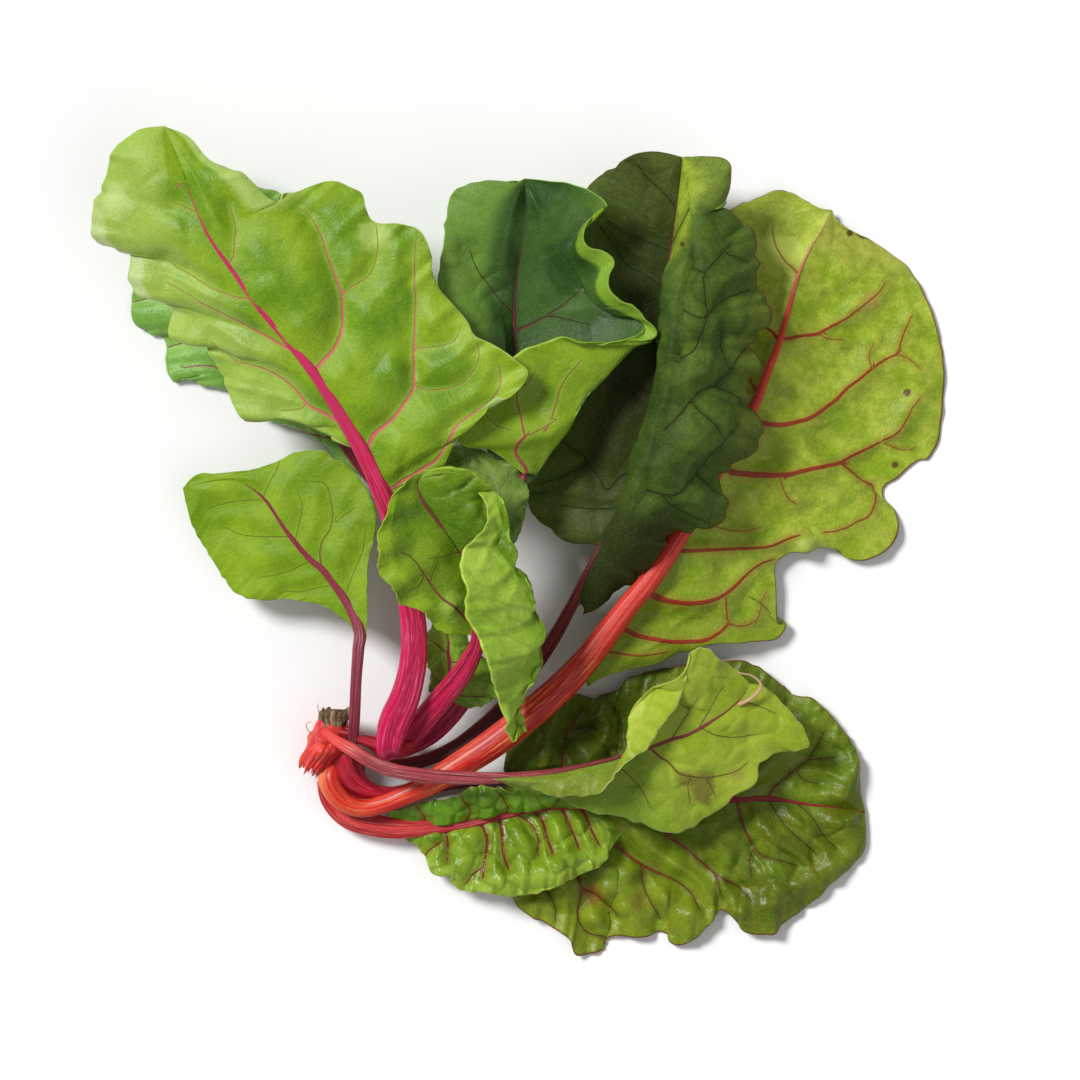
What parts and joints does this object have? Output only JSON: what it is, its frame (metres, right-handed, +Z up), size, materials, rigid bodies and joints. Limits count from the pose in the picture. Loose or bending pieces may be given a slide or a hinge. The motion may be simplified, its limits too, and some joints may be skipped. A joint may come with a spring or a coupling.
{
  "type": "swiss chard bunch",
  "caption": "Lying bunch of young chard leaves with waved, quilted blades on coloured stalks that fan out from one torn crown.",
  "frame": {"origin": "centre of the overall box in X and Y, at its bottom, which is the surface the bunch lies on", "axes": "+Z straight up off the surface; +X from the crown side towards the broad right-hand leaf; +Y towards the tips of the back leaves"},
  "size_m": [0.359, 0.3492, 0.0764],
  "materials": {
    "crown": "torn moist root tissue with a dry brown cut end",
    "tall_left_leaf_stalk": "moist ribbed stalk, satin",
    "tall_left_leaf_blade": "waxy leaf with raised quilting, satin",
    "hidden_left_leaf_stalk": "moist ribbed stalk, satin",
    "hidden_left_leaf_blade": "waxy leaf with raised quilting, satin",
    "small_left_leaf_stalk": "moist ribbed stalk, satin",
    "small_left_leaf_blade": "waxy leaf with raised quilting, satin",
    "cupped_leaf_stalk": "moist ribbed stalk, satin",
    "cupped_leaf_blade": "waxy leaf with raised quilting, satin",
    "bronze_leaf_stalk": "moist ribbed stalk, satin",
    "bronze_leaf_blade": "waxy leaf with raised quilting, satin",
    "broad_right_leaf_stalk": "moist ribbed stalk, satin",
    "broad_right_leaf_blade": "waxy leaf with raised quilting, satin",
    "folded_front_leaf_stalk": "moist ribbed stalk, satin",
    "folded_front_leaf_blade": "waxy leaf with raised quilting, satin",
    "twisted_leaf_stalk": "moist ribbed stalk, satin",
    "twisted_leaf_blade": "waxy leaf with raised quilting, satin",
    "crinkled_leaf_stalk": "moist ribbed stalk, satin",
    "crinkled_leaf_blade": "waxy leaf with raised quilting, satin",
    "low_right_leaf_stalk": "moist ribbed stalk, satin",
    "low_right_leaf_blade": "waxy leaf with raised quilting, satin",
    "tucked_leaf_stalk": "moist ribbed stalk, satin",
    "tucked_leaf_blade": "waxy leaf with raised quilting, satin",
    "baby_leaf_stalk": "moist ribbed stalk, satin",
    "baby_leaf_blade": "waxy leaf with raised quilting, satin"
  },
  "bodies": {
    "root": {"crown": "crown", "tall_left_leaf_stalk": "tall_left_leaf_stalk", "tall_left_leaf_blade": "tall_left_leaf_blade", "hidden_left_leaf_stalk": "hidden_left_leaf_stalk", "hidden_left_leaf_blade": "hidden_left_leaf_blade", "small_left_leaf_stalk": "small_left_leaf_stalk", "small_left_leaf_blade": "small_left_leaf_blade", "cupped_leaf_stalk": "cupped_leaf_stalk", "cupped_leaf_blade": "cupped_leaf_blade", "bronze_leaf_stalk": "bronze_leaf_stalk", "bronze_leaf_blade": "bronze_leaf_blade", "broad_right_leaf_stalk": "broad_right_leaf_stalk", "broad_right_leaf_blade": "broad_right_leaf_blade", "folded_front_leaf_stalk": "folded_front_leaf_stalk", "folded_front_leaf_blade": "folded_front_leaf_blade", "twisted_leaf_stalk": "twisted_leaf_stalk", "twisted_leaf_blade": "twisted_leaf_blade", "crinkled_leaf_stalk": "crinkled_leaf_stalk", "crinkled_leaf_blade": "crinkled_leaf_blade", "low_right_leaf_stalk": "low_right_leaf_stalk", "low_right_leaf_blade": "low_right_leaf_blade", "tucked_leaf_stalk": "tucked_leaf_stalk", "tucked_leaf_blade": "tucked_leaf_blade", "baby_leaf_stalk": "baby_leaf_stalk", "baby_leaf_blade": "baby_leaf_blade"}
  },
  "joints": []
}
